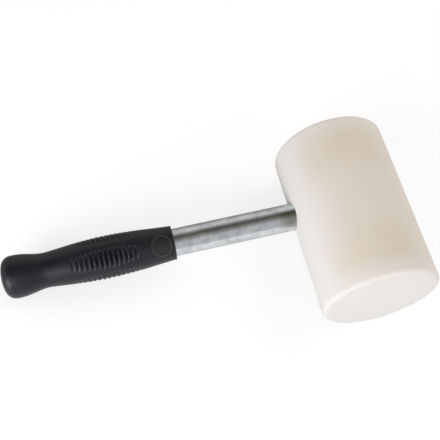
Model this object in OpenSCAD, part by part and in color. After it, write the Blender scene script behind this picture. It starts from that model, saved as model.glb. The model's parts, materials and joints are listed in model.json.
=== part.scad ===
// Soft face hammer: a solid nylon head on a plated steel tube, with a ribbed rubber grip.
// It lies on a bench, on the side of its head and the butt of its grip.
// X runs from the butt to the head, Y along the head and Z up. Sizes are in millimetres.

/* [Head] */
// Diameter of the head
head_d = 92; // [76:1:120]
// Length of the head between its striking faces
head_l = 141; // [110:1:180]
// Rounding of the rim round each striking face
head_rim_r = 3.5; // [0.5:0.25:5]
// Distance of the handle from the middle of the head, towards the +Y face
handle_offset = 14; // [0:1:24]

/* [Handle tube] */
// Outer diameter of the tube
tube_d = 22; // [18:0.5:26]
// Wall of the tube
tube_wall = 1.5; // [1:0.1:2]
// Length of bare tube between the head and the grip
tube_bare_l = 98; // [60:1:140]
// Growth of the tube's radius where its end is flared over the washer
flare_growth = 2; // [1.2:0.1:2.4]

/* [Crown washer] */
// Width of the washer round the tube
washer_band = 6; // [4:0.25:8]
// Thickness of the washer
washer_t = 2.5; // [2.5:0.1:4]
// Depth of the washer's face below the crown of the head
crown_recess = 3.5; // [3:0.25:7]

/* [Crown plug] */
// Length of the plug inside the flared end of the tube
crown_plug_l = 14; // [8:0.5:24]
// Height of the plug's domed face above the end of the tube
crown_plug_rise = 0.8; // [0.2:0.1:1.4]
// Wall of both hollow tube plugs
plug_wall = 1.8; // [1:0.1:3]

/* [Grip] */
// Rubber over the tube at the front end
grip_front_wall = 2.65; // [1.5:0.05:5]
// Rubber over the tube at the swell
grip_swell_wall = 6; // [4.5:0.05:9]
// Rubber over the tube at the neck
grip_neck_wall = 2.8; // [1.5:0.05:5]
// Rubber over the tube at the butt
grip_butt_wall = 5.9; // [3:0.05:9]
// Distance of the swell from the front end
front_to_swell = 54; // [45:1:70]
// Distance of the neck from the swell
swell_to_neck = 47; // [38:1:60]
// Distance of the butt's full diameter from the neck
neck_to_butt = 23; // [18:0.5:40]
// Length of the butt at its full diameter
butt_band = 2.5; // [0.5:0.25:6]
// Rounding of the edge of the butt
butt_edge_r = 8; // [3:0.5:10]
// Radius of the domed end of the butt
butt_dome_r = 40; // [28:1:80]
// Rubber behind the end of the tube
butt_floor = 9; // [4:0.5:16]
// Turn of the grip about the handle, from its upper side towards the +Y face
grip_turn = -29.5; // [-45:0.5:45]

/* [Grip ribs] */
// Number of ribbed panels round the grip
panel_count = 5; // [2:1:6]
// Distance of the middle of the panels from the front end
panel_at = 55; // [48:0.5:64]
// Number of grooves in each panel
groove_count = 14; // [6:1:16]
// Distance between neighbouring grooves
groove_pitch = 3.8; // [3.2:0.1:4.2]
// Width of the flat floor of a groove
groove_floor_w = 1.2; // [0.8:0.1:1.8]
// Depth of the grooves below the swell
groove_depth = 2.3; // [0.8:0.1:2.8]
// Lean of the sides of a groove
groove_lean = 14; // [4:1:20]

/* [Grip badge] */
// Outer diameter of the plain raised ring near the front end
badge_d = 17; // [10:0.5:18]
// Width of the ring
badge_band = 1.5; // [0.8:0.1:3]
// Height of the ring above the grip
badge_rise = 0.6; // [0.2:0.1:1]
// Distance of the ring's edge from the front end
badge_inset = 1.5; // [1:0.25:4]

/* [Butt plug] */
// Length of the plug inside the tube
butt_plug_l = 14; // [8:0.5:24]
// Thickness of the flange that covers the end of the tube
butt_plug_flange = 2; // [1:0.25:4]

/* [Fits] */
// Gap round a piece that fits in another
fit_gap = 0.05; // [0.02:0.01:0.12]

/* [Hidden] */
// Length by which a cut runs past the surface that it leaves
overrun = 1;
// Straight pieces in a rounded rim, in the side of the grip, in its butt and in a plug's dome
rim_steps = 8;
grip_steps = 40;
butt_steps = 8;
dome_steps = 6;
// Powers that shape the grip's rise to its swell and its fall to its neck
front_power = 1.3;
neck_power = 1.2;
$fn = 72;

head_r = head_d / 2;
tube_r = tube_d / 2;
tube_bore_r = tube_r - tube_wall;

// Distances along the handle are counted from the axis of the head towards the butt
tube_start = crown_recess - head_r;
flare_end = tube_start + flare_growth;
inner_flare_end = flare_end - tube_wall * tan(45 / 2);
inner_flare_r = tube_bore_r + inner_flare_end - tube_start;
washer_end = tube_start + washer_t;
washer_r = tube_r + washer_band;
grip_start = head_r + tube_bare_l;

// Distances along the grip are counted from its front end
neck_at = front_to_swell + swell_to_neck;
crest_at = neck_at + neck_to_butt;
butt_at = crest_at + butt_band;
front_r = tube_r + grip_front_wall;
swell_r = tube_r + grip_swell_wall;
neck_r = tube_r + grip_neck_wall;
butt_r = tube_r + grip_butt_wall;

// The rounded edge of the butt runs smoothly into its dome at this angle from the axis
edge_centre_r = butt_r - butt_edge_r;
dome_angle = asin(edge_centre_r / (butt_dome_r - butt_edge_r));
dome_at = butt_at - (butt_dome_r - butt_edge_r) * cos(dome_angle);
grip_l = dome_at + butt_dome_r;
grip_bore_l = grip_l - butt_floor;
tube_end = grip_start + grip_bore_l - butt_plug_flange;

// At rest the side of the head and the edge of the butt touch the bench
edge_reach = grip_start + butt_at;
rest_tilt = asin((head_r - butt_edge_r) / norm([edge_reach, edge_centre_r]))
          - atan(edge_centre_r / edge_reach);
butt_reach = (grip_start + dome_at) * cos(rest_tilt) + butt_dome_r;
head_x = (butt_reach - head_r) / 2;

// Radius of the grip at a distance s from its front end
function grip_r(s) =
    s < front_to_swell
        ? front_r + (swell_r - front_r) * pow(sin(90 * s / front_to_swell), front_power)
    : s < neck_at
        ? neck_r + (swell_r - neck_r) * pow(cos(90 * (s - front_to_swell) / swell_to_neck), neck_power)
    : s < crest_at
        ? neck_r + (butt_r - neck_r) * (1 - cos(180 * (s - neck_at) / neck_to_butt)) / 2
    : butt_r;

// Points of an arc in the plane of an outline, from one angle to another
function arc(centre, radius, from, to, steps) =
    [for (i = [0:steps]) let (a = from + (to - from) * i / steps) centre + radius * [cos(a), sin(a)]];

// Outline of the grip, swollen outwards by a given height
function grip_outline(rise = 0) = concat(
    [[0, 0]],
    [for (i = [0:grip_steps - 1]) let (s = butt_at * i / grip_steps) [grip_r(s) + rise, s]],
    arc([edge_centre_r, butt_at], butt_edge_r + rise, 0, 90 - dome_angle, butt_steps),
    [for (i = [1:butt_steps]) let (a = dome_angle * (1 - i / butt_steps))
        [0, dome_at] + (butt_dome_r + rise) * [sin(a), cos(a)]]
);

// Puts a piece on the handle's axis: z runs from the head's axis to the butt, x is its upper side
module on_handle() {
    translate([head_x, handle_offset, head_r]) rotate([0, -90 - rest_tilt, 0]) children();
}

// Space for the tube, with a wider seat for the washer below the crown
module handle_bore() {
    bore_r = tube_r + fit_gap;
    seat_r = washer_r + fit_gap;
    rotate_extrude() polygon([
        [0, -head_r - overrun], [seat_r, -head_r - overrun], [seat_r, washer_end],
        [bore_r, washer_end], [bore_r, head_r + overrun], [0, head_r + overrun]
    ]);
}

// Solid nylon cylinder with rounded rims, bored across for the handle
module head() {
    rim_centre = [head_r - head_rim_r, head_l / 2 - head_rim_r];
    color("ivory") difference() {
        translate([head_x, 0, head_r]) rotate([90, 0, 0]) rotate_extrude() polygon(concat(
            [[0, -head_l / 2]],
            arc([rim_centre.x, -rim_centre.y], head_rim_r, -90, 0, rim_steps),
            arc(rim_centre, head_rim_r, 0, 90, rim_steps),
            [[0, head_l / 2]]
        ));
        on_handle() handle_bore();
    }
}

// Steel tube, its far end flared over the washer
module handle_tube() {
    color("silver") on_handle() rotate_extrude() polygon([
        [tube_bore_r, tube_end], [tube_bore_r, inner_flare_end], [inner_flare_r, tube_start],
        [tube_r + flare_growth, tube_start], [tube_r, flare_end], [tube_r, tube_end]
    ]);
}

// Steel washer, countersunk for the flared end of the tube
module crown_washer() {
    hole_r = tube_r + fit_gap;
    color("gainsboro") on_handle() rotate_extrude() polygon([
        [hole_r + flare_growth, tube_start], [washer_r, tube_start], [washer_r, washer_end],
        [hole_r, washer_end], [hole_r, flare_end]
    ]);
}

// Hollow plug with a low domed face that closes the flared end
module crown_plug() {
    stem_r = tube_bore_r - fit_gap;
    face_r = inner_flare_r - fit_gap;
    color("#4a4a4e") on_handle() rotate_extrude() polygon(concat(
        [for (i = [0:dome_steps]) let (a = 90 * i / dome_steps)
            [face_r * sin(a), tube_start - crown_plug_rise * cos(a)]],
        [[stem_r, inner_flare_end], [stem_r, tube_start + crown_plug_l],
         [stem_r - plug_wall, tube_start + crown_plug_l], [stem_r - plug_wall, tube_start + plug_wall],
         [0, tube_start + plug_wall]]
    ));
}

// Straight grooves across the side of the grip, which run out where its round side falls away
module rib_panel() {
    floor_r = swell_r - groove_depth;
    top_r = swell_r + overrun;
    top_w = groove_floor_w + 2 * (top_r - floor_r) * tan(groove_lean);
    for (i = [0:groove_count - 1])
        translate([0, swell_r, panel_at + groove_pitch * (i - (groove_count - 1) / 2)])
            rotate([90, 0, 0]) linear_extrude(2 * swell_r) polygon([
                [floor_r, -groove_floor_w / 2], [top_r, -top_w / 2],
                [top_r, top_w / 2], [floor_r, groove_floor_w / 2]
            ]);
}

// Plain raised ring on the side of the grip
module badge_ring() {
    intersection() {
        rotate_extrude() polygon(grip_outline(badge_rise));
        translate([0, 0, badge_inset + badge_d / 2]) rotate([0, 90, 0]) difference() {
            cylinder(d = badge_d, h = swell_r + overrun);
            cylinder(d = badge_d - 2 * badge_band, h = swell_r + 2 * overrun);
        }
    }
}

// Moulded rubber sleeve with ribbed panels and a closed, flared butt
module grip() {
    color("#26262a") on_handle() translate([0, 0, grip_start]) rotate([0, 0, grip_turn]) difference() {
        union() {
            difference() {
                rotate_extrude() polygon(grip_outline());
                for (i = [0:panel_count - 1]) rotate([0, 0, 360 * i / panel_count]) rib_panel();
            }
            badge_ring();
        }
        translate([0, 0, -overrun]) cylinder(r = tube_r + fit_gap, h = grip_bore_l + overrun);
    }
}

// Hollow plug that closes the tube and keeps its edge off the rubber
module butt_plug() {
    stem_r = tube_bore_r - fit_gap;
    color("#4a4a4e") on_handle() translate([0, 0, tube_end]) rotate_extrude() polygon([
        [0, butt_plug_flange], [tube_r, butt_plug_flange], [tube_r, 0], [stem_r, 0],
        [stem_r, -butt_plug_l], [stem_r - plug_wall, -butt_plug_l], [stem_r - plug_wall, 0], [0, 0]
    ]);
}

head();
handle_tube();
crown_washer();
crown_plug();
grip();
butt_plug();
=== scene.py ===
import bpy
import json
from math import asin, atan2, cos, pi, radians, sin, tan
from mathutils import Matrix, Vector


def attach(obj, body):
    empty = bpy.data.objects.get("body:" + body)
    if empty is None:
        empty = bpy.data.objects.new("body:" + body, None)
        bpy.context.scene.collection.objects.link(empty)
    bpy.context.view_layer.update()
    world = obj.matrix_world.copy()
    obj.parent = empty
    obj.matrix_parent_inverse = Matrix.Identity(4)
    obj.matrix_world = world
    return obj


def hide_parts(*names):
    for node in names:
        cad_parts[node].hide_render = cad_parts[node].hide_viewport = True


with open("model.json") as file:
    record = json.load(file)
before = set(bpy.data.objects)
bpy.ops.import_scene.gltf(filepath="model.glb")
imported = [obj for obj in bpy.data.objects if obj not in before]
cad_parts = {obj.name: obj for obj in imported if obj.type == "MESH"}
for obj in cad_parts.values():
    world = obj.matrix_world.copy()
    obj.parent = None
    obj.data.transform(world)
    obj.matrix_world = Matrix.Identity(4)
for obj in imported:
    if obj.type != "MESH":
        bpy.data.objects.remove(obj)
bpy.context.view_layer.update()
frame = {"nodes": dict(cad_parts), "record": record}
mm = 0.001
tiny = 0.001 * mm  # places closer than this are the same
spunWeld = 0.005 * mm  # points closer than these are merged, after a spin and after a cut
cutWeld = 0.01 * mm
cutterSides = 96
softStep = {"interpolation_type": "SMOOTHSTEP"}  # for a Map Range that eases in and out
print("frame loaded:", ", ".join(sorted(frame["nodes"])))


def linear(hexColour):  # sRGB hex to the linear values that sockets take
    parts = [int(hexColour[i:i + 2], 16) / 255 for i in (1, 3, 5)]
    return [p / 12.92 if p <= 0.04045 else ((p + 0.055) / 1.055) ** 2.4 for p in parts] + [1.0]


def addNode(tree, kind, settings=None, inputs=None):  # an input is a value, or (node, output) to link
    node = tree.nodes.new(kind)
    for name, value in (settings or {}).items():
        setattr(node, name, value)
    for name, value in (inputs or {}).items():
        if isinstance(value, tuple) and isinstance(value[0], bpy.types.Node):
            tree.links.new(value[0].outputs[value[1]], node.inputs[name])
        else:
            node.inputs[name].default_value = value
    return node


def newMaterial(name):
    mat = bpy.data.materials.new(name)
    mat.use_nodes = True
    tree = mat.node_tree
    tree.nodes.clear()
    return mat, tree


def deselectAll():
    bpy.ops.object.select_all(action="DESELECT")


def makeActive(piece):
    deselectAll()
    piece.select_set(True)
    bpy.context.view_layer.objects.active = piece


def pick(piece, kind, test):  # in edit mode, selects the edges or faces that pass the test, and no others
    bpy.ops.mesh.select_mode(type=kind)
    bpy.ops.mesh.select_all(action="DESELECT")
    bpy.ops.object.mode_set(mode="OBJECT")
    mesh = piece.data
    if kind == "EDGE":
        for edge in mesh.edges:
            edge.select = all(test(mesh.vertices[v].co) for v in edge.vertices)
    else:
        for face in mesh.polygons:
            face.select = test(face.center)
    bpy.ops.object.mode_set(mode="EDIT")


def applyModifier(piece, kind, **settings):
    makeActive(piece)
    mod = piece.modifiers.new(kind.lower(), kind)
    for name, value in settings.items():
        setattr(mod, name, value)
    bpy.ops.object.modifier_apply(modifier=mod.name)


def settle(piece, place):  # puts a finished piece in its place, and the place in its mesh
    makeActive(piece)
    piece.matrix_world = place
    bpy.ops.object.transform_apply(location=True, rotation=True, scale=True)


def roundCutter(radius, length, place, middle=0.0):  # a rod along z, its middle moved along z, then placed
    deselectAll()
    bpy.ops.mesh.primitive_cylinder_add(vertices=cutterSides, radius=radius, depth=length,
                                        location=(0, 0, middle))
    cutter = bpy.context.object
    bpy.ops.object.transform_apply(location=True)
    settle(cutter, place)
    return cutter


def cutWith(piece, cutter, operation="DIFFERENCE"):
    applyModifier(piece, "BOOLEAN", object=cutter, operation=operation, solver="EXACT")
    mesh = cutter.data
    bpy.data.objects.remove(cutter)
    bpy.data.meshes.remove(mesh)


def cleanMesh(piece, distance):
    makeActive(piece)
    bpy.ops.object.mode_set(mode="EDIT")
    bpy.ops.mesh.select_all(action="SELECT")
    bpy.ops.mesh.remove_doubles(threshold=distance)
    bpy.ops.mesh.normals_make_consistent(inside=False)
    bpy.ops.object.mode_set(mode="OBJECT")


# The lie of the hammer, from its mounts: head axis along Y, handle sloping down to the butt
mounts = {mount["name"]: mount for mount in frame["record"]["mounts"]}
headX, _, headR = mounts["near_face"]["pos_m"]
bareTube = mounts["tube_clip_zone"]
handleY = bareTube["pos_m"][1]
tilt = atan2(bareTube["axis"][2], bareTube["axis"][0])
# on the handle, z runs from the head's axis to the butt and x is the upper side
onHandle = Matrix.Translation((headX, handleY, headR)) @ Matrix.Rotation(-pi / 2 - tilt, 4, "Y")


# Head: a cylinder turned from cast rod, rims rounded, bored across for the tube
head = {"radius": headR, "length": 141 * mm, "sides": 180, "rim": 3.5 * mm, "rimSteps": 8,
        "faceRings": (12 * mm, 12 * mm, 10 * mm), "boreR": 11.05 * mm, "seatR": 17.05 * mm,
        "seatFloor": 40 * mm, "seatReach": 20 * mm, "smoothTo": 25}


def makeHead():
    deselectAll()
    bpy.ops.mesh.primitive_cylinder_add(vertices=head["sides"], radius=head["radius"], depth=head["length"])
    piece = bpy.context.object
    piece.name = "nylonHead"
    bpy.ops.object.mode_set(mode="EDIT")
    half = head["length"] / 2
    for side in (1, -1):  # round each rim
        pick(piece, "EDGE", lambda co: abs(co.z - side * half) < tiny)
        bpy.ops.mesh.bevel(offset=head["rim"], segments=head["rimSteps"], profile=0.5, affect="EDGES")
    for side in (1, -1):  # rings in the striking faces, as a facing cut leaves them
        pick(piece, "FACE", lambda co: abs(co.z - side * half) < tiny)
        for step in head["faceRings"]:
            bpy.ops.mesh.inset(thickness=step, depth=0)
    bpy.ops.object.mode_set(mode="OBJECT")
    settle(piece, Matrix.Translation((headX, 0, headR)) @ Matrix.Rotation(radians(90), 4, "X"))
    cutWith(piece, roundCutter(head["boreR"], 4 * head["radius"], onHandle))
    seatMiddle = -head["seatFloor"] - head["seatReach"] / 2
    cutWith(piece, roundCutter(head["seatR"], head["seatReach"], onHandle, seatMiddle))
    cleanMesh(piece, cutWeld)
    bpy.ops.object.shade_smooth_by_angle(angle=radians(head["smoothTo"]))
    return piece


nylonHead = makeHead()
print("head made:", len(nylonHead.data.polygons), "faces")


# Handle tube: drawn steel, its far end flared over the washer in the crown
tube = {"radius": bareTube["dims"]["r_mm"] * mm, "wall": 1.5 * mm, "sides": 128, "start": -42.5 * mm,
        "end": 268.763 * mm, "flare": 2 * mm, "edge": 0.2 * mm, "edgeFrom": 60, "smoothTo": 30}


def makeTube():
    deselectAll()
    straight = tube["end"] - tube["start"] - tube["flare"]
    bpy.ops.mesh.primitive_cylinder_add(vertices=tube["sides"], radius=tube["radius"], depth=straight,
                                        end_fill_type="NOTHING",
                                        location=(0, 0, tube["end"] - straight / 2))
    piece = bpy.context.object
    piece.name = "steelTube"
    bpy.ops.object.transform_apply(location=True)
    bpy.ops.object.mode_set(mode="EDIT")
    pick(piece, "EDGE", lambda co: co.z < tube["start"] + tube["flare"] + tiny)
    bpy.ops.mesh.extrude_region_move(TRANSFORM_OT_translate={"value": (0, 0, -tube["flare"])})
    grow = 1 + tube["flare"] / tube["radius"]
    bpy.ops.transform.resize(value=(grow, grow, 1), center_override=(0, 0, tube["start"]))
    bpy.ops.mesh.select_all(action="SELECT")
    bpy.ops.mesh.normals_make_consistent(inside=False)
    bpy.ops.object.mode_set(mode="OBJECT")
    applyModifier(piece, "SOLIDIFY", thickness=tube["wall"], offset=-1, use_even_offset=True)
    applyModifier(piece, "BEVEL", width=tube["edge"], segments=2, limit_method="ANGLE",
                  angle_limit=radians(tube["edgeFrom"]))
    settle(piece, onHandle)
    bpy.ops.object.shade_smooth_by_angle(angle=radians(tube["smoothTo"]))
    return piece


steelTube = makeTube()
print("tube made:", len(steelTube.data.polygons), "faces")


# Grip: a moulded sleeve, drawn as one outline and spun, with panels of cut grooves and a plain ring
grip = {"start": headR + bareTube["dims"]["length_mm"] * mm, "frontR": 13.65 * mm, "swellR": 17 * mm,
        "neckR": 13.8 * mm, "buttR": 16.9 * mm, "swellAt": 54 * mm, "neckAt": 101 * mm,
        "crestAt": 124 * mm, "buttAt": 126.5 * mm, "edgeR": 8 * mm, "domeR": 40 * mm, "swellEase": 1.3,
        "neckEase": 1.2, "boreR": 11.05 * mm, "boreL": 126.763 * mm, "boreOver": 20 * mm, "turn": -29.5,
        "sides": 192, "edgeSteps": 16, "domeSteps": 8, "voxel": 0.48 * mm, "softenings": 2, "smoothTo": 40}
ribs = {"panels": 5, "at": 55 * mm, "count": 14, "pitch": 3.8 * mm, "floorR": 14.7 * mm,
        "floorW": 1.2 * mm, "lean": 14, "cutOver": 2 * mm, "cutW": 40 * mm}
ring = {"at": 10 * mm, "outerR": 8.5 * mm, "band": 1.5 * mm, "rise": 0.6 * mm, "blankSides": 256,
        "cutAt": 16.5 * mm, "outerCut": 10 * mm, "innerCut": 12 * mm}
gripTurn = Matrix.Rotation(radians(grip["turn"]), 4, "Z")
onGrip = onHandle @ Matrix.Translation((0, 0, grip["start"])) @ gripTurn


def gripRadius(s):
    g = grip
    if s < g["swellAt"]:
        return g["frontR"] + (g["swellR"] - g["frontR"]) * sin(pi / 2 * s / g["swellAt"]) ** g["swellEase"]
    if s < g["neckAt"]:
        t = (s - g["swellAt"]) / (g["neckAt"] - g["swellAt"])
        return g["neckR"] + (g["swellR"] - g["neckR"]) * cos(pi / 2 * t) ** g["neckEase"]
    t = (s - g["neckAt"]) / (g["crestAt"] - g["neckAt"])
    return g["neckR"] + (g["buttR"] - g["neckR"]) * (1 - cos(pi * min(t, 1))) / 2


def gripOutline(rise=0.0):  # (radius, distance from the front end)
    edgeC = grip["buttR"] - grip["edgeR"]
    domeA = asin(edgeC / (grip["domeR"] - grip["edgeR"]))
    domeAt = grip["buttAt"] - (grip["domeR"] - grip["edgeR"]) * cos(domeA)
    edgeR = grip["edgeR"] + rise
    domeR = grip["domeR"] + rise
    points = [(0, 0)]
    points += [(gripRadius(s * mm) + rise, s * mm) for s in range(int(grip["buttAt"] / mm))]
    for i in range(grip["edgeSteps"] + 1):
        a = (pi / 2 - domeA) * i / grip["edgeSteps"]
        points.append((edgeC + edgeR * cos(a), grip["buttAt"] + edgeR * sin(a)))
    for i in range(1, grip["domeSteps"] + 1):
        a = domeA * (1 - i / grip["domeSteps"])
        points.append((domeR * sin(a), domeAt + domeR * cos(a)))
    return points


def spinOutline(points, steps, name):
    deselectAll()
    bpy.ops.mesh.primitive_plane_add(size=mm)
    piece = bpy.context.object
    piece.name = name
    bpy.ops.object.mode_set(mode="EDIT")
    bpy.ops.mesh.select_mode(type="VERT")
    bpy.ops.mesh.select_all(action="SELECT")
    bpy.ops.mesh.merge(type="CENTER")  # one point is left, and the outline is drawn from it
    last = (0.0, 0.0)
    for r, z in points[1:]:
        bpy.ops.mesh.extrude_region_move(TRANSFORM_OT_translate={"value": (r - last[0], 0, z - last[1])})
        last = (r, z)
    bpy.ops.mesh.select_all(action="SELECT")
    bpy.ops.mesh.spin(steps=steps, angle=2 * pi, center=(0, 0, 0), axis=(0, 0, 1))
    bpy.ops.object.mode_set(mode="OBJECT")
    cleanMesh(piece, spunWeld)
    return piece


def makeGrooves():  # one cutter, copied along a panel, and the panel copied round the grip
    deselectAll()
    top = grip["swellR"] + ribs["cutOver"]
    bpy.ops.mesh.primitive_cube_add(size=1, location=((ribs["floorR"] + top) / 2, 0, 0))
    cutter = bpy.context.object
    cutter.scale = (top - ribs["floorR"], ribs["cutW"], ribs["floorW"])
    bpy.ops.object.transform_apply(location=True, scale=True)
    bpy.ops.object.mode_set(mode="EDIT")
    pick(cutter, "FACE", lambda co: co.x > top - tiny)
    spread = 1 + 2 * (top - ribs["floorR"]) * tan(radians(ribs["lean"])) / ribs["floorW"]
    bpy.ops.transform.resize(value=(1, 1, spread), center_override=(0, 0, 0))
    bpy.ops.object.mode_set(mode="OBJECT")
    applyModifier(cutter, "ARRAY", count=ribs["count"], use_relative_offset=False,
                  use_constant_offset=True, constant_offset_displace=(0, 0, ribs["pitch"]))
    settle(cutter, Matrix.Translation((0, 0, ribs["at"] - ribs["pitch"] * (ribs["count"] - 1) / 2)))
    panels = [cutter]
    for i in range(1, ribs["panels"]):
        makeActive(cutter)
        bpy.ops.object.duplicate()
        panels.append(bpy.context.object)
        settle(panels[-1], Matrix.Rotation(2 * pi * i / ribs["panels"], 4, "Z"))
    deselectAll()
    for panel in panels:
        panel.select_set(True)
    bpy.context.view_layer.objects.active = cutter
    bpy.ops.object.join()
    return cutter


def makeRing():  # a plain raised ring: the swollen outline, kept only inside a ring cut
    piece = spinOutline(gripOutline(ring["rise"]), ring["blankSides"], "ringBlank")
    place = Matrix.Translation((ring["cutAt"], 0, ring["at"])) @ Matrix.Rotation(radians(90), 4, "Y")
    cutWith(piece, roundCutter(ring["outerR"], ring["outerCut"], place), "INTERSECT")
    cutWith(piece, roundCutter(ring["outerR"] - ring["band"], ring["innerCut"], place))
    cleanMesh(piece, cutWeld)
    return piece


def makeGrip():
    piece = spinOutline(gripOutline(), grip["sides"], "rubberGrip")
    cutWith(piece, makeGrooves())
    applyModifier(piece, "REMESH", mode="VOXEL", voxel_size=grip["voxel"])
    applyModifier(piece, "SMOOTH", factor=0.5, iterations=grip["softenings"])  # the mould's rounded lips
    cutWith(piece, makeRing(), "UNION")
    boreMiddle = (grip["boreL"] - grip["boreOver"]) / 2
    bore = roundCutter(grip["boreR"], grip["boreL"] + grip["boreOver"], Matrix.Identity(4), boreMiddle)
    cutWith(piece, bore)
    settle(piece, onGrip)
    bpy.ops.object.shade_smooth_by_angle(angle=radians(grip["smoothTo"]))
    return piece


rubberGrip = makeGrip()
print("grip made:", len(rubberGrip.data.polygons), "faces")


# Cast nylon, turned: an ivory satin skin with painted shade in tan on its upper side towards each end,
# standing in for the dimmer warm light there, and rings left by the tool.
# The painted shade lies where a slanted height above the axis is large, and by the distance from the middle.
nylonLook = {"pale": "#ece6e0", "tan": "#e3d6c5", "roughness": (0.6, 0.72), "ior": 1.53,
             "cloud": 30 * mm, "clouds": (0.3, 0.7), "glow": 0.12, "glowDepth": 4 * mm,
             "slant": (0.17, 0, 0.985), "slantFrom": 8 * mm, "slantTo": 40 * mm, "slantShare": 0.52,
             "crest": (-0.24, 0, 0.97), "crestFrom": 26 * mm, "crestTo": 45 * mm, "crestShare": (0.2, 0.55),
             "riseFrom": 8 * mm, "riseTo": 40 * mm, "middleShare": 0.15,
             "fallFrom": 50 * mm, "fallTo": 68 * mm, "endShare": 0.25,
             "faceFrom": 67 * mm, "faceTo": 70.4 * mm, "markDepth": 0.1 * mm, "markStrength": 0.05,
             "feed": 1.4 * mm}  # coarser than the real feed marks, so that they show


def nylonMaterial():
    look = nylonLook
    mat, tree = newMaterial("castNylonTurned")
    coord = addNode(tree, "ShaderNodeTexCoord")
    place = addNode(tree, "ShaderNodeMapping",
                    inputs={"Vector": (coord, "Object"), "Location": (-headX, 0, -headR)})
    spot = addNode(tree, "ShaderNodeSeparateXYZ", inputs={"Vector": (place, "Vector")})
    end = addNode(tree, "ShaderNodeMath", {"operation": "ABSOLUTE"}, {0: (spot, "Y")})
    clouds = addNode(tree, "ShaderNodeTexNoise",
                     inputs={"Vector": (place, "Vector"), "Scale": 1 / look["cloud"],
                             "Detail": 3.0, "Roughness": 0.45})
    rise = addNode(tree, "ShaderNodeMapRange", softStep,
                   {"Value": (end, "Value"), "From Min": look["riseFrom"], "From Max": look["riseTo"],
                    "To Min": look["middleShare"]})
    fall = addNode(tree, "ShaderNodeMapRange", softStep,
                   {"Value": (end, "Value"), "From Min": look["fallFrom"], "From Max": look["fallTo"],
                    "To Min": 1.0, "To Max": look["endShare"]})
    slant = addNode(tree, "ShaderNodeVectorMath", {"operation": "DOT_PRODUCT"},
                    {0: (place, "Vector"), 1: look["slant"]})
    warm = addNode(tree, "ShaderNodeMapRange", softStep,
                   {"Value": (slant, "Value"), "From Min": look["slantFrom"], "From Max": look["slantTo"],
                    "To Max": look["slantShare"]})
    crest = addNode(tree, "ShaderNodeVectorMath", {"operation": "DOT_PRODUCT"},
                    {0: (place, "Vector"), 1: look["crest"]})
    narrow = addNode(tree, "ShaderNodeMapRange", softStep,
                     {"Value": (crest, "Value"), "From Min": look["crestFrom"], "From Max": look["crestTo"]})
    patch = addNode(tree, "ShaderNodeMapRange",
                    inputs={"Value": (clouds, "Fac"),
                            "From Min": look["clouds"][0], "From Max": look["clouds"][1],
                            "To Min": look["crestShare"][0], "To Max": look["crestShare"][1]})
    spread = addNode(tree, "ShaderNodeMath", {"operation": "MULTIPLY"},
                     {0: (rise, "Result"), 1: (narrow, "Result")})
    both = addNode(tree, "ShaderNodeMath", {"operation": "MULTIPLY_ADD"},
                   {0: (spread, "Value"), 1: (patch, "Result"), 2: (warm, "Result")})
    # painted shade: the tan on the upper side towards each end stands in for the dimmer warm light the top
    # gets
    paintedTopShade = addNode(tree, "ShaderNodeMath", {"operation": "MULTIPLY", "use_clamp": True},
                       {0: (both, "Value"), 1: (fall, "Result")})
    skin = addNode(tree, "ShaderNodeValToRGB", inputs={"Fac": (paintedTopShade, "Value")})
    skin.color_ramp.elements[0].color = linear(look["pale"])
    skin.color_ramp.elements[1].color = linear(look["tan"])
    faced = addNode(tree, "ShaderNodeMapRange", softStep,
                    {"Value": (end, "Value"), "From Min": look["faceFrom"], "From Max": look["faceTo"]})
    bands = 2 * pi / 20 / look["feed"]  # the wave node has 20 / (2 pi) bands in a unit of its scale
    turned = addNode(tree, "ShaderNodeTexWave", {"wave_type": "BANDS", "bands_direction": "Y"},
                     {"Vector": (place, "Vector"), "Scale": bands, "Distortion": 0.4})
    facing = addNode(tree, "ShaderNodeTexWave", {"wave_type": "RINGS", "rings_direction": "Y"},
                     {"Vector": (place, "Vector"), "Scale": bands, "Distortion": 0.3})
    marks = addNode(tree, "ShaderNodeMix",
                    inputs={"Factor": (faced, "Result"), "A": (turned, "Fac"), "B": (facing, "Fac")})
    lift = addNode(tree, "ShaderNodeBump",
                   inputs={"Height": (marks, "Result"), "Strength": look["markStrength"],
                           "Distance": look["markDepth"]})
    rough = addNode(tree, "ShaderNodeMapRange",
                    inputs={"Value": (clouds, "Fac"), "To Min": look["roughness"][0],
                            "To Max": look["roughness"][1]})
    shader = addNode(tree, "ShaderNodeBsdfPrincipled",
                     inputs={"Base Color": (skin, "Color"), "IOR": look["ior"],
                             "Roughness": (rough, "Result"), "Normal": (lift, "Normal"),
                             "Subsurface Weight": look["glow"], "Subsurface Scale": look["glowDepth"]})
    addNode(tree, "ShaderNodeOutputMaterial", inputs={"Surface": (shader, "BSDF")})
    return mat


# Bright zinc on drawn steel: a soft mirror with draw streaks along the tube, cloudy, and with painted shade
# and a painted dark reflection on its upper side by the head, standing in for the head's shadow and its
# reflection there.
# Distances run along the handle, from the head's axis towards the crown.
zincLook = {"grey": (0.32, "#bcc1c4"), "bright": (0.66, "#d8dadb"), "paintedShade": "#8d877c",
            "roughness": (0.12, 0.28), "edgeTint": 0.72, "cloud": 8 * mm, "streak": 1.2 * mm,
            "stretch": 0.06, "streakDepth": 0.05 * mm, "streakStrength": 0.1,
            "shadeFrom": -60 * mm, "shadeTo": -46 * mm, "shadeShare": 0.8, "ragged": 8 * mm,
            "upper": (0, -0.57, 0.82), "upperFrom": 0.7 * tube["radius"], "upperTo": 0.93 * tube["radius"]}


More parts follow.
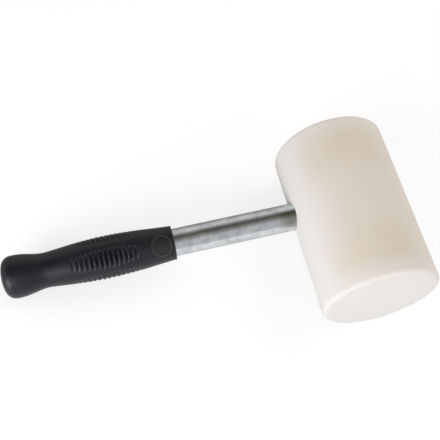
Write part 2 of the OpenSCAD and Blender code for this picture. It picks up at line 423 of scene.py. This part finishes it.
def tubeMaterial():
    look = zincLook
    mat, tree = newMaterial("zincPlatedSteel")
    coord = addNode(tree, "ShaderNodeTexCoord")
    level = addNode(tree, "ShaderNodeMapping",
                    inputs={"Vector": (coord, "Object"), "Location": (-headX, 0, -headR)})
    handle = addNode(tree, "ShaderNodeMapping",
                     inputs={"Vector": (level, "Vector"), "Rotation": (0, tilt, 0)})
    drawn = addNode(tree, "ShaderNodeMapping",
                    inputs={"Vector": (handle, "Vector"), "Scale": (look["stretch"], 1, 1)})
    streaks = addNode(tree, "ShaderNodeTexNoise",
                      inputs={"Vector": (drawn, "Vector"), "Scale": 1 / look["streak"], "Detail": 3.0})
    clouds = addNode(tree, "ShaderNodeTexNoise",
                     inputs={"Vector": (handle, "Vector"), "Scale": 1 / look["cloud"], "Detail": 3.0})
    zinc = addNode(tree, "ShaderNodeValToRGB", inputs={"Fac": (clouds, "Fac")})
    for element, (at, tone) in zip(zinc.color_ramp.elements, (look["grey"], look["bright"])):
        element.position = at
        element.color = linear(tone)
    spot = addNode(tree, "ShaderNodeSeparateXYZ", inputs={"Vector": (handle, "Vector")})
    reach = addNode(tree, "ShaderNodeMath", {"operation": "MULTIPLY_ADD"},  # a ragged edge to the painted shade
                    {0: (clouds, "Fac"), 1: look["ragged"], 2: (spot, "X")})
    byHead = addNode(tree, "ShaderNodeMapRange", softStep,
                     {"Value": (reach, "Value"), "From Min": look["shadeFrom"], "From Max": look["shadeTo"],
                      "To Max": look["shadeShare"]})
    fromAxis = addNode(tree, "ShaderNodeVectorMath", {"operation": "SUBTRACT"},
                       {0: (handle, "Vector"), 1: (0, handleY, 0)})
    upward = addNode(tree, "ShaderNodeVectorMath", {"operation": "DOT_PRODUCT"},
                     {0: (fromAxis, "Vector"), 1: look["upper"]})
    onTop = addNode(tree, "ShaderNodeMapRange", softStep,
                    {"Value": (upward, "Value"), "From Min": look["upperFrom"], "From Max": look["upperTo"]})
    # painted shade: darkens the tube's upper side by the head, for the head's shadow and dark reflection
    # there
    paintedShade = addNode(tree, "ShaderNodeMath", {"operation": "MULTIPLY"},
                   {0: (byHead, "Result"), 1: (onTop, "Result")})
    tint = addNode(tree, "ShaderNodeMix", {"data_type": "RGBA"},  # sockets 6 and 7 are its two colours
                   {"Factor": (paintedShade, "Value"), 6: (zinc, "Color"), 7: linear(look["paintedShade"])})
    rough = addNode(tree, "ShaderNodeMapRange",
                    inputs={"Value": (streaks, "Fac"), "To Min": look["roughness"][0],
                            "To Max": look["roughness"][1]})
    lift = addNode(tree, "ShaderNodeBump",
                   inputs={"Height": (streaks, "Fac"), "Strength": look["streakStrength"],
                           "Distance": look["streakDepth"]})
    shader = addNode(tree, "ShaderNodeBsdfPrincipled",
                     inputs={"Base Color": (tint, 2), "Metallic": 1.0, "Roughness": (rough, "Result"),
                             "Normal": (lift, "Normal"), "Specular Tint": [look["edgeTint"]] * 3 + [1]})
    addNode(tree, "ShaderNodeOutputMaterial", inputs={"Surface": (shader, "BSDF")})
    return mat


# Moulded rubber: near black, satin, with the fine grain of an eroded mould, and a painted sheen in a paler
# colour on and inside the ring, for the highlights on the raised emblem.
# The ring's tones are (share of a distance from its middle, share of the painted sheen colour).
rubberLook = {"deep": (0.35, "#111018"), "worn": (0.7, "#18171f"), "ring": "#343129",
              "roughness": (0.36, 0.46), "ior": 1.5, "specular": 0.36, "bloom": 14 * mm,
              "grain": 0.7 * mm, "grainDepth": 0.08 * mm, "grainStrength": 0.12,
              "ringReach": 1.2 * ring["outerR"],
              "ringTones": ((0.0, 0.4), (0.66, 0.4), (0.70, 1.0), (0.82, 1.0), (0.86, 0.0))}


def rubberMaterial():
    look = rubberLook
    mat, tree = newMaterial("mouldedRubber")
    coord = addNode(tree, "ShaderNodeTexCoord")
    grain = addNode(tree, "ShaderNodeTexNoise",
                    inputs={"Vector": (coord, "Object"), "Scale": 1 / look["grain"], "Detail": 2.0})
    bloom = addNode(tree, "ShaderNodeTexNoise",
                    inputs={"Vector": (coord, "Object"), "Scale": 1 / look["bloom"], "Detail": 3.0})
    black = addNode(tree, "ShaderNodeValToRGB", inputs={"Fac": (bloom, "Fac")})
    for element, (at, tone) in zip(black.color_ramp.elements, (look["deep"], look["worn"])):
        element.position = at
        element.color = linear(tone)
    centre = onGrip @ Vector((grip["frontR"], 0, ring["at"]))
    away = addNode(tree, "ShaderNodeVectorMath", {"operation": "DISTANCE"}, {0: (coord, "Object"), 1: centre})
    share = addNode(tree, "ShaderNodeMath", {"operation": "DIVIDE"},
                    {0: (away, "Value"), 1: look["ringReach"]})
    # painted sheen: the paler ring stands in for the highlights on the raised emblem
    ringSheen = addNode(tree, "ShaderNodeValToRGB", inputs={"Fac": (share, "Value")})
    for at, grey in look["ringTones"][1:-1]:
        ringSheen.color_ramp.elements.new(at)
    for element, (at, grey) in zip(ringSheen.color_ramp.elements, look["ringTones"]):
        element.position = at
        element.color = (grey, grey, grey, 1)
    tint = addNode(tree, "ShaderNodeMix", {"data_type": "RGBA"},
                   {"Factor": (ringSheen, "Color"), 6: (black, "Color"), 7: linear(look["ring"])})
    rough = addNode(tree, "ShaderNodeMapRange",
                    inputs={"Value": (bloom, "Fac"), "To Min": look["roughness"][0],
                            "To Max": look["roughness"][1]})
    lift = addNode(tree, "ShaderNodeBump",
                   inputs={"Height": (grain, "Fac"), "Strength": look["grainStrength"],
                           "Distance": look["grainDepth"]})
    shader = addNode(tree, "ShaderNodeBsdfPrincipled",
                     inputs={"Base Color": (tint, 2), "Roughness": (rough, "Result"), "IOR": look["ior"],
                             "Specular IOR Level": look["specular"], "Normal": (lift, "Normal")})
    addNode(tree, "ShaderNodeOutputMaterial", inputs={"Surface": (shader, "BSDF")})
    return mat


# Moulded polyethylene: dark grey, waxy
polyLook = {"dark": "#232326", "light": "#303034", "roughness": 0.45, "ior": 1.51,
            "grain": 0.8 * mm, "grainDepth": 0.05 * mm, "grainStrength": 0.1}


def plugMaterial():
    look = polyLook
    mat, tree = newMaterial("mouldedPolyethylene")
    coord = addNode(tree, "ShaderNodeTexCoord")
    grain = addNode(tree, "ShaderNodeTexNoise",
                    inputs={"Vector": (coord, "Object"), "Scale": 1 / look["grain"], "Detail": 2.0})
    tint = addNode(tree, "ShaderNodeValToRGB", inputs={"Fac": (grain, "Fac")})
    tint.color_ramp.elements[0].color = linear(look["dark"])
    tint.color_ramp.elements[1].color = linear(look["light"])
    lift = addNode(tree, "ShaderNodeBump",
                   inputs={"Height": (grain, "Fac"), "Strength": look["grainStrength"],
                           "Distance": look["grainDepth"]})
    shader = addNode(tree, "ShaderNodeBsdfPrincipled",
                     inputs={"Base Color": (tint, "Color"), "Roughness": look["roughness"],
                             "IOR": look["ior"], "Normal": (lift, "Normal")})
    addNode(tree, "ShaderNodeOutputMaterial", inputs={"Surface": (shader, "BSDF")})
    return mat


nylon = nylonMaterial()
zinc = tubeMaterial()
rubber = rubberMaterial()
poly = plugMaterial()
for piece, mat, node, slot in ((nylonHead, nylon, "head", "head_nylon"),
                               (steelTube, zinc, "handle_tube", "tube_steel"),
                               (rubberGrip, rubber, "grip", "grip_rubber")):
    piece.data.materials.clear()
    piece.data.materials.append(mat)
    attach(piece, "root")
    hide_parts(node)
for node, mat in (("crown_washer", zinc), ("crown_plug", poly), ("butt_plug", poly)):
    frame["nodes"][node].material_slots[0].material = mat
print("materials set")


# Camera: where the outlines of the head and handle put it
camera = {"place": (-0.100789, -0.245602, 0.547386), "turn": (0.512496, -0.093961, -0.233146),
          "lens": 59.957, "sensor": 36, "nearest": 10 * mm}


def makeCamera():
    data = bpy.data.cameras.new("photoCamera")
    data.lens = camera["lens"]
    data.sensor_width = camera["sensor"]
    data.clip_start = camera["nearest"]
    eye = bpy.data.objects.new("photoCamera", data)
    bpy.context.scene.collection.objects.link(eye)
    eye.location = camera["place"]
    eye.rotation_euler = camera["turn"]
    bpy.context.scene.camera = eye


makeCamera()


# Floor: pale paper, lifted to white where it shows, with the shadow kept and no edge in the distance
floorLook = {"size": 6, "colour": "#b8b8b8", "glow": 0.63, "farGlow": 1.05, "riseFrom": 0.5, "riseTo": 1.6,
             "fadeFrom": -0.02, "fadeTo": 0.10, "behind": 0.1}


def makeFloor():
    look = floorLook
    deselectAll()
    bpy.ops.mesh.primitive_plane_add(size=look["size"])
    floor = bpy.context.object
    floor.name = "floor"
    mat, tree = newMaterial("paleFloor")
    path = addNode(tree, "ShaderNodeLightPath")
    coord = addNode(tree, "ShaderNodeTexCoord")
    spot = addNode(tree, "ShaderNodeSeparateXYZ", inputs={"Vector": (coord, "Object")})
    away = addNode(tree, "ShaderNodeVectorMath", {"operation": "LENGTH"}, {0: (coord, "Object")})
    shown = addNode(tree, "ShaderNodeMapRange", softStep,
                    {"Value": (away, "Value"), "From Min": look["riseFrom"], "From Max": look["riseTo"],
                     "To Min": look["glow"], "To Max": look["farGlow"]})
    mirrored = addNode(tree, "ShaderNodeMapRange", softStep,  # reflections see less of it behind the part
                       {"Value": (spot, "Y"), "From Min": look["fadeFrom"], "From Max": look["fadeTo"],
                        "To Min": look["glow"], "To Max": look["glow"] * look["behind"]})
    mirrorRay = addNode(tree, "ShaderNodeMath", {"operation": "MAXIMUM"},
                        {0: (path, "Is Glossy Ray"), 1: (path, "Is Transmission Ray")})
    mirrorGlow = addNode(tree, "ShaderNodeMath", {"operation": "MULTIPLY"},
                         {0: (mirrorRay, "Value"), 1: (mirrored, "Result")})
    glow = addNode(tree, "ShaderNodeMath", {"operation": "MULTIPLY_ADD"},
                   {0: (path, "Is Camera Ray"), 1: (shown, "Result"), 2: (mirrorGlow, "Value")})
    shader = addNode(tree, "ShaderNodeBsdfPrincipled",
                     inputs={"Base Color": linear(look["colour"]), "Roughness": 1.0,
                             "Specular IOR Level": 0.0, "Emission Color": (1, 1, 1, 1),
                             "Emission Strength": (glow, "Value")})
    addNode(tree, "ShaderNodeOutputMaterial", inputs={"Surface": (shader, "BSDF")})
    floor.data.materials.append(mat)


makeFloor()


# A soft key and a weak side lamp on the left, a weak front lamp and a fill on the right,
# and a pale tent that is dark above: its tones run from the front over the top to the back
lamps = {"key": {"place": (-1.0, -0.8, 0.4), "size": 0.9, "power": 15.6, "colour": "#f5f9ff"},
         "side": {"place": (-1.2, 0.35, 0.4), "size": 0.7, "power": 1.6, "colour": "#f5f9ff"},
         "front": {"place": (0.9, -1.0, 0.25), "size": 0.5, "power": 3.2, "colour": "#f5f9ff"},
         "fill": {"place": (0.95, 0.3, 0.9), "size": 1.0, "power": 6.5, "colour": "#fffcf8"}}
lampAim = (0.03, 0, 0.03)
tent = ((0.0, "#cfd1d3"), (0.2, "#cccdce"), (0.35, "#a09e9a"), (0.5, "#76716a"), (0.64, "#57524b"),
        (0.78, "#a09e9a"), (0.9, "#e9e9e8"), (1.0, "#d6d6d6"))


def makeLamps():
    for name, lamp in lamps.items():
        data = bpy.data.lights.new(name, "AREA")
        data.size = lamp["size"]
        data.energy = lamp["power"]
        data.color = linear(lamp["colour"])[:3]
        obj = bpy.data.objects.new(name, data)
        bpy.context.scene.collection.objects.link(obj)
        obj.location = lamp["place"]
        obj.rotation_euler = (Vector(lampAim) - obj.location).to_track_quat("-Z", "Y").to_euler()


def makeTent():
    world = bpy.context.scene.world or bpy.data.worlds.new("studio")
    bpy.context.scene.world = world
    world.use_nodes = True
    tree = world.node_tree
    tree.nodes.clear()
    coord = addNode(tree, "ShaderNodeTexCoord")
    parts = addNode(tree, "ShaderNodeSeparateXYZ", inputs={"Vector": (coord, "Generated")})
    share = addNode(tree, "ShaderNodeMapRange",
                    inputs={"Value": (parts, "Y"), "From Min": -1.0, "From Max": 1.0})
    ramp = addNode(tree, "ShaderNodeValToRGB", inputs={"Fac": (share, "Result")})
    for at, tone in tent[1:-1]:
        ramp.color_ramp.elements.new(at)
    for element, (at, tone) in zip(ramp.color_ramp.elements, tent):
        element.position = at
        element.color = linear(tone)
    sky = addNode(tree, "ShaderNodeBackground", inputs={"Color": (ramp, "Color"), "Strength": 1.0})
    white = addNode(tree, "ShaderNodeBackground", inputs={"Color": (1, 1, 1, 1), "Strength": 1.0})
    path = addNode(tree, "ShaderNodeLightPath")
    shown = addNode(tree, "ShaderNodeMixShader",
                    inputs={0: (path, "Is Camera Ray"), 1: (sky, "Background"), 2: (white, "Background")})
    addNode(tree, "ShaderNodeOutputWorld", inputs={"Surface": (shown, "Shader")})


makeLamps()
makeTent()
print("camera, floor and lamps set")
bpy.context.scene.view_settings.view_transform = "Standard"
print("scene ready")
